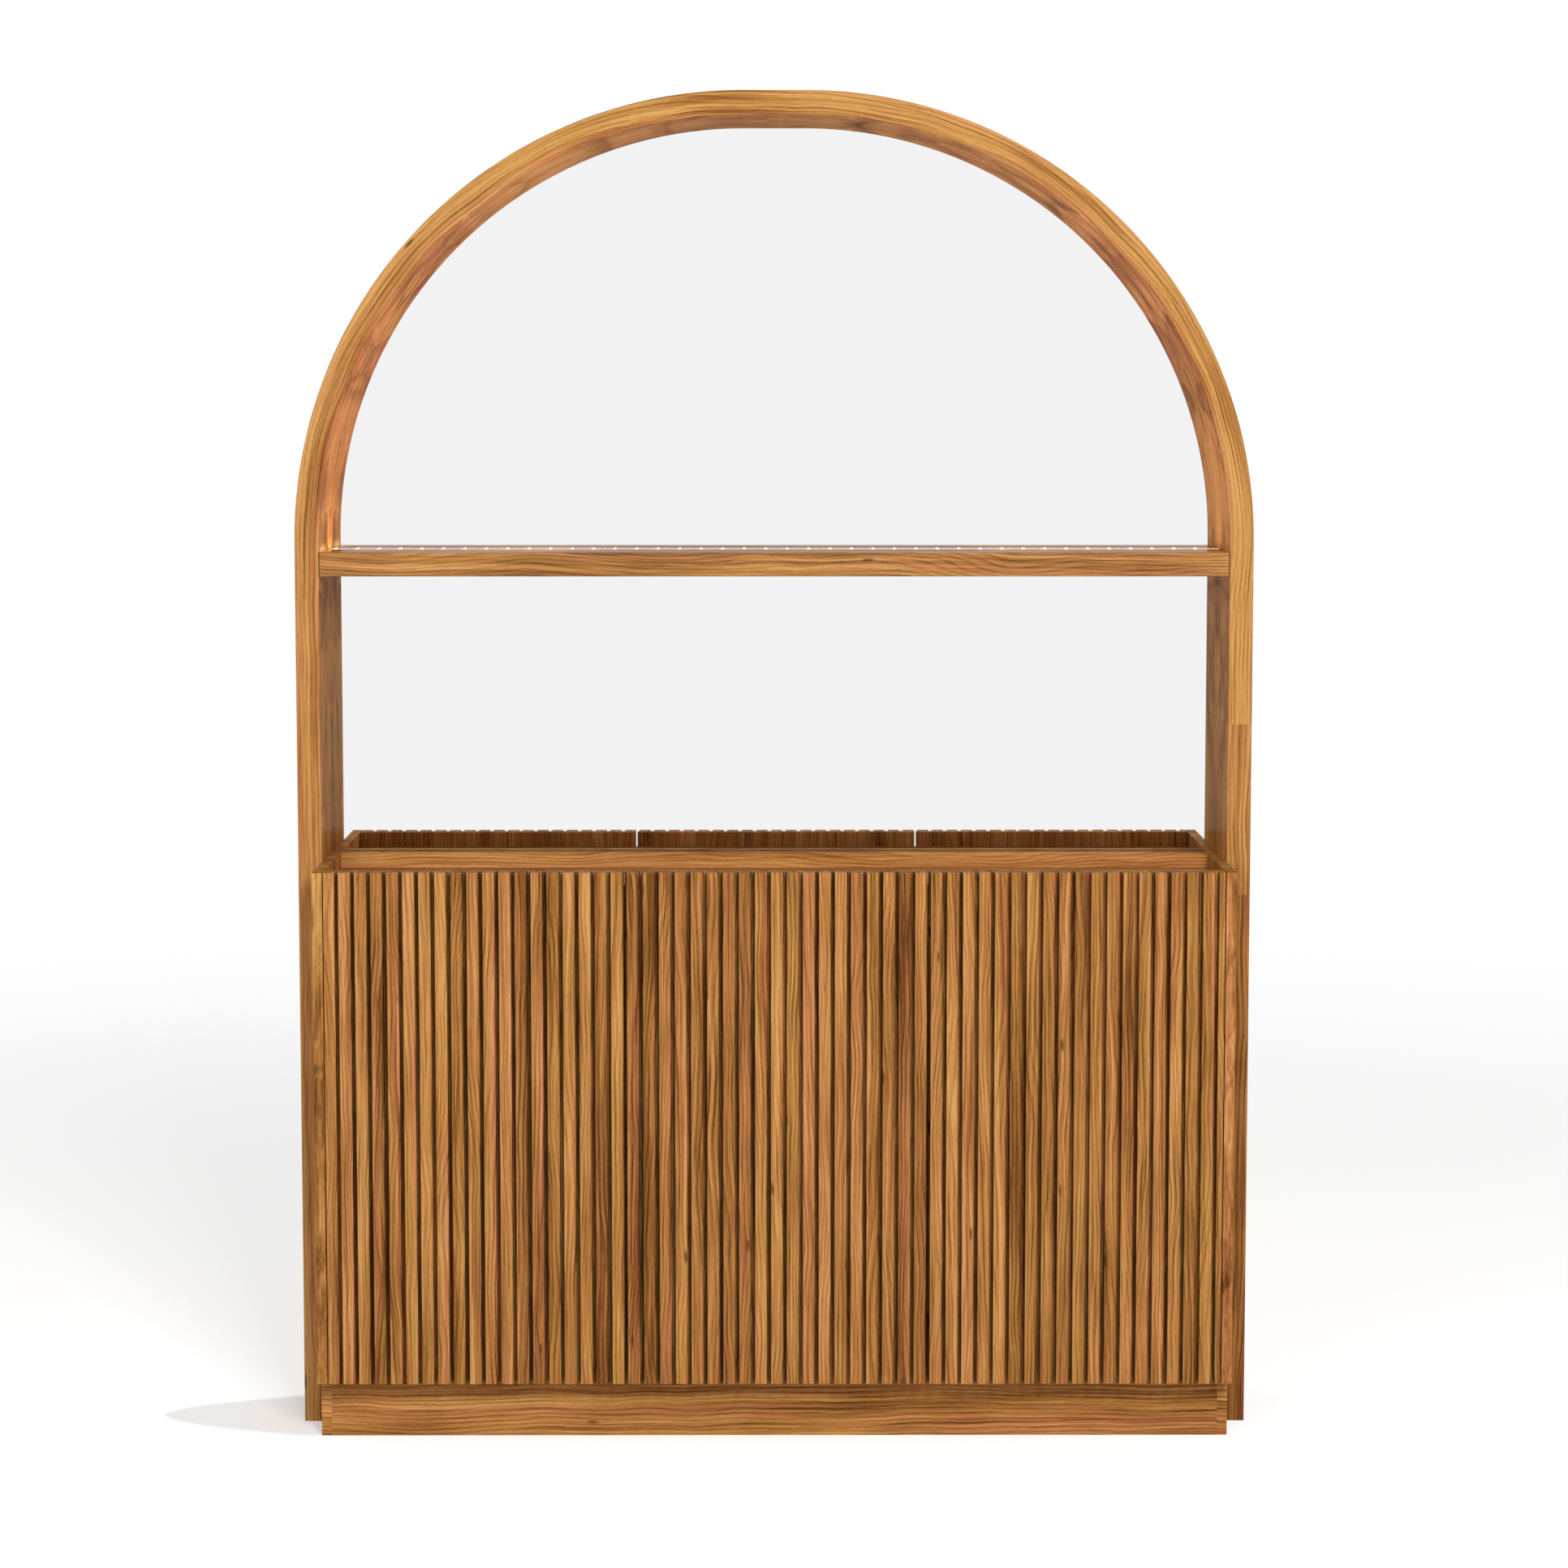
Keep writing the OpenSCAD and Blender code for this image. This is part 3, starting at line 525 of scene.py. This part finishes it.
def light_parts():
    material, tree, shader = new_material("tape")
    x = tree.split(object_place(tree))[0]
    stripe = tree.math("FRACT", tree.math("DIVIDE", x, 0.0175))
    pad = tree.math("LESS_THAN", tree.math("ABSOLUTE", tree.math("SUBTRACT", stripe, 0.5)), 0.06)
    tree.feed(shader.inputs["Base Color"], tree.mix(pad, srgb(238, 226, 205), srgb(196, 160, 96)))
    shader.inputs["Roughness"].default_value = 0.45
    shader.inputs["Emission Color"].default_value = srgb(255, 222, 198)
    shader.inputs["Emission Strength"].default_value = 1.1
    assign(material, "light_tape")

    material, tree, shader = new_material("lens")
    shader.inputs["Base Color"].default_value = srgb(255, 244, 222)
    shader.inputs["Roughness"].default_value = 0.15
    glow = tree.noise(object_place(tree), 700.0, 1.0)
    tree.feed(shader.inputs["Emission Color"], tree.mix(glow, srgb(255, 222, 176), srgb(255, 240, 214)))
    shader.inputs["Emission Strength"].default_value = 7.0
    assign(material, "light_lenses")


def metal_and_plastic():
    material, tree, shader = new_material("nickel")
    scratch = tree.noise(object_place(tree), 260.0, 4.0, 0.7)
    tree.feed(shader.inputs["Base Color"], tree.mix(scratch, (0.44, 0.45, 0.46, 1.0), (0.62, 0.62, 0.61, 1.0)))
    shader.inputs["Metallic"].default_value = 1.0
    tree.feed(shader.inputs["Roughness"], tree.span(scratch, 0.3, 0.7, 0.24, 0.42))
    steel = [name for name in NODES if name.endswith(("_pins", "_strike", "_arms", "_bolts", "_screws"))]
    assign(material, *steel)

    for name, dark, light, roughness, node in (
        ("catch_plastic", (0.014, 0.012, 0.011, 1.0), (0.035, 0.031, 0.029, 1.0), 0.5, "catches"),
        ("driver_plastic", (0.58, 0.59, 0.58, 1.0), (0.70, 0.71, 0.70, 1.0), 0.55, "light_driver"),
    ):
        material, tree, shader = new_material(name)
        texture = tree.noise(object_place(tree), 1400.0, 2.0)
        tree.feed(shader.inputs["Base Color"], tree.mix(texture, dark, light))
        shader.inputs["Roughness"].default_value = roughness
        tree.feed(shader.inputs["Normal"], tree.bump(texture, 0.3, 0.0002))
        assign(material, node)


def screw_mesh(radius, height, shank_r, shank_l):
    """A pan head screw with a cross recess, head towards +Z, its seat at z = 0. Millimetres."""
    build = bmesh.new()
    count = 32

    def ring(r, z):
        turns = [2 * math.pi * i / count for i in range(count)]
        return [build.verts.new((r * math.cos(turn), r * math.sin(turn), z)) for turn in turns]

    rings = [ring(r, z) for r, z in (
        (shank_r, -shank_l), (shank_r, 0.0), (radius, 0.0), (radius, height * 0.45),
        (radius * 0.91, height * 0.82), (radius * 0.72, height),
    )]
    build.faces.new(rings[0])
    for low, high in zip(rings, rings[1:]):
        for i in range(count):
            build.faces.new((low[i], low[i - 1], high[i - 1], high[i]))
    half, reach, depth = radius * 0.12, radius * 0.50, height * 0.55
    cross = []
    for x, y in ((reach, -half), (reach, half), (half, half)):
        cross.append([(x, y), (-y, x), (-x, -y), (y, -x)])
    outline = [cross[k][turn] for turn in range(4) for k in range(3)]
    top = [build.verts.new((x, y, height)) for x, y in outline]
    floor = [build.verts.new((x, y, height - depth)) for x, y in outline]
    edges = [build.edges.new((top[i - 1], top[i])) for i in range(12)]
    edges += [build.edges.get((rings[-1][i - 1], rings[-1][i])) for i in range(count)]
    bmesh.ops.triangle_fill(build, edges=edges, use_beauty=True)
    for i in range(12):
        build.faces.new((top[i - 1], floor[i - 1], floor[i], top[i]))
    build.faces.new(floor)
    bmesh.ops.recalc_face_normals(build, faces=build.faces)
    mesh = bpy.data.meshes.new("screw")
    build.to_mesh(mesh)
    build.free()
    return mesh


def fasteners(name, body, places, radius, height, shank_r, shank_l):
    """One piece that holds a screw at each (seat, direction of the head) of places."""
    whole = bmesh.new()
    for number, (seat, out) in enumerate(places):
        one = screw_mesh(radius, height, shank_r, shank_l)
        turn = Vector(out).to_track_quat("Z", "Y").to_matrix().to_4x4()
        # Each cross recess stands at an angle of its own
        spin = Matrix.Rotation(0.9 * number, 4, "Z")
        one.transform(Matrix.Translation(seat) @ turn @ spin @ Matrix.Scale(0.001, 4))
        whole.from_mesh(one)
        bpy.data.meshes.remove(one)
    mesh = bpy.data.meshes.new(name)
    whole.to_mesh(mesh)
    whole.free()
    mesh.materials.append(bpy.data.materials["nickel"])
    piece = bpy.data.objects.new(name, mesh)
    bpy.context.scene.collection.objects.link(piece)
    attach(piece, body)


def make_screws():
    """Screws in the holes of the hinge plates and the driver tabs, and flush ones in the strike plates."""
    for side in DOORS:
        low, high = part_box(f"{side}_hinge_arms")
        seats = []
        for z in (low.z + PLATE_H / 2, (low.z + high.z) / 2, high.z - PLATE_H / 2):
            for up in (-1, 1):
                seat = (low.x + PLATE_T, high.y - PLATE_L * 0.2, z + up * PLATE_H * 0.3)
                seats.append((seat, (1, 0, 0)))
        fasteners(f"{side}_hinge_screws", "root", seats, *PAN_SCREW)
        low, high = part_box(f"{side}_door_strike")
        seats = [(((low.x + high.x) / 2, high.y, z), (0, 1, 0)) for z in (low.z + STRIKE_HOLE, high.z - STRIKE_HOLE)]
        fasteners(f"{side}_strike_screws", f"{side}_door", seats, *FLUSH_SCREW)
    low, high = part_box("light_driver")
    tabs = [((x, (low.y + high.y) / 2, high.z - TAB_T), (0, 0, -1)) for x in (low.x + TAB_HOLE, high.x - TAB_HOLE)]
    fasteners("driver_screws", "root", tabs, *PAN_SCREW)


def make_camera():
    data = bpy.data.cameras.new("photo_camera")
    data.lens = LENS
    data.sensor_width = SENSOR
    data.clip_end = 100
    camera = bpy.data.objects.new("photo_camera", data)
    camera.location = CAMERA_AT
    camera.rotation_euler = (math.pi / 2 - TILT_DOWN, 0.0, -YAW_RIGHT)
    bpy.context.scene.collection.objects.link(camera)
    bpy.context.scene.camera = camera


def area_light(name, place, target, size, power, color, spread=180):
    data = bpy.data.lights.new(name, "AREA")
    data.shape = "RECTANGLE"
    data.size, data.size_y = size
    data.energy = power
    data.color = color
    data.spread = math.radians(spread)
    lamp = bpy.data.objects.new(name, data)
    lamp.location = place
    lamp.rotation_euler = (Vector(target) - Vector(place)).to_track_quat("-Z", "Y").to_euler()
    lamp.visible_camera = False
    lamp.visible_glossy = False
    bpy.context.scene.collection.objects.link(lamp)


def make_light():
    """A white room that cameras, mirrors and metal see at full white and that lights at a lower level."""
    world = bpy.data.worlds.new("studio")
    bpy.context.scene.world = world
    world.use_nodes = True
    tree = Tree(world.node_tree)
    background = world.node_tree.nodes["Background"]
    path = tree.node("ShaderNodeLightPath").outputs
    seen = tree.math("MAXIMUM", path["Is Camera Ray"], path["Is Transmission Ray"])
    seen = tree.math("MAXIMUM", seen, path["Is Glossy Ray"])
    tree.feed(background.inputs["Color"], (1.0, 1.0, 1.0, 1.0))
    tree.feed(background.inputs["Strength"], tree.span(seen, 0.0, 1.0, 0.34, 1.0, smooth=False))
    area_light("key", (1.2, -5.5, 3.6), (0.0, 0.0, 0.9), (1.6, 1.6), 224.0, (1.0, 0.99, 0.97))
    area_light("fill", (-2.4, -5.8, 2.2), (0.0, 0.0, 1.0), (2.2, 2.2), 78.0, (1.0, 1.0, 1.0))
    low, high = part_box("light_tape")
    middle = (low + high) / 2
    strip_x = middle.x - 0.016
    area_light("strip_glow", (strip_x, middle.y, high.z + 0.0012), (strip_x, middle.y, high.z + 1.0),
               (high.x - low.x - 0.036, 0.006), 0.7, (1.0, 0.66, 0.36))
    # The first light of the strip shines on the left jamb, low along its foot and up in a soft streak
    jamb = SHELF_LOW.x
    glow_y = middle.y - 0.008
    for name, reach, y, up, target_up, size, power, color in (
        ("jamb_foot", 0.012, 0.050, 0.006, 0.0, (0.100, 0.008), 0.0105, (0.55, 0.66, 0.90)),
        ("jamb_spot", 0.024, glow_y, 0.008, 0.016, (0.010, 0.010), 0.0024, (1.0, 0.90, 0.60)),
        ("jamb_streak", 0.024, glow_y, 0.052, 0.052, (0.010, 0.084), 0.0045, (1.0, 0.70, 0.40)),
    ):
        area_light(name, (jamb + reach, y, high.z + up), (jamb, y, high.z + target_up), size, power, color,
                   spread=120)
    # What the shelf throws back up lights the inside of the bends
    for side, sign, power in (("left", -1, 0.92), ("right", 1, 0.55)):
        start = Vector((sign * 0.25, 0.050, high.z + 0.060))
        toward = Vector((sign * 0.743, 0.0, 0.669))
        area_light(f"{side}_rise", start, start + toward, (0.10, 0.10), power, (1.0, 0.86, 0.74), spread=150)


def make_floor():
    """A pale floor that keeps the shadow and reads as white further out."""
    mesh = bpy.data.meshes.new("floor")
    build = bmesh.new()
    bmesh.ops.create_circle(build, cap_ends=True, segments=96, radius=9.0)
    build.to_mesh(mesh)
    build.free()
    floor = bpy.data.objects.new("floor", mesh)
    bpy.context.scene.collection.objects.link(floor)
    material = bpy.data.materials.new("floor")
    material.use_nodes = True
    nodes = material.node_tree.nodes
    nodes.clear()
    tree = Tree(material.node_tree)
    place = object_place(tree)
    far = tree.span(tree.length(place), 2.2, 6.0)
    path = tree.node("ShaderNodeLightPath").outputs
    seen = tree.math("MAXIMUM", tree.math("MAXIMUM", path["Is Camera Ray"], path["Is Glossy Ray"]),
                     path["Is Transmission Ray"])
    matt = tree.node("ShaderNodeBsdfDiffuse")
    tree.feed(matt.inputs["Color"], (0.80, 0.80, 0.80, 1.0))
    lift = tree.node("ShaderNodeEmission")
    x, y = tree.split(place)[:2]
    # The shadow narrows away from the foot
    away = tree.span(x, -LEG_HIGH.x - SHADOW_LONG, -LEG_HIGH.x, smooth=False)
    half = tree.math("MULTIPLY", tree.math("SQRT", away), SHADOW_HALF)
    inside = tree.math("SUBTRACT", half, tree.math("ABSOLUTE", tree.math("SUBTRACT", y, SHADOW_Y)))
    shadow = tree.math("MULTIPLY", tree.span(inside, -0.004, 0.020), tree.math("LESS_THAN", x, 0.0))
    kept = tree.math("MULTIPLY_ADD", shadow, -SHADOW_DROP, FLOOR_LIFT)
    tree.feed(lift.inputs["Strength"], tree.math("MULTIPLY", seen, kept))
    near = tree.node("ShaderNodeAddShader")
    tree.feed(near.inputs[0], matt.outputs[0])
    tree.feed(near.inputs[1], lift.outputs[0])
    white = tree.node("ShaderNodeEmission")
    tree.feed(white.inputs["Strength"], tree.span(seen, 0.0, 1.0, 0.40, 1.0, smooth=False))
    both = tree.node("ShaderNodeMixShader")
    tree.feed(both.inputs[0], far)
    tree.feed(both.inputs[1], near.outputs[0])
    tree.feed(both.inputs[2], white.outputs[0])
    out = tree.node("ShaderNodeOutputMaterial")
    tree.feed(out.inputs[0], both.outputs[0])
    mesh.materials.append(material)


bpy.context.scene.view_settings.view_transform = "Standard"
make_camera()
dress_wood()
plywood()
bare_dowels()
mirror_glass()
light_parts()
metal_and_plastic()
make_screws()
make_light()
make_floor()
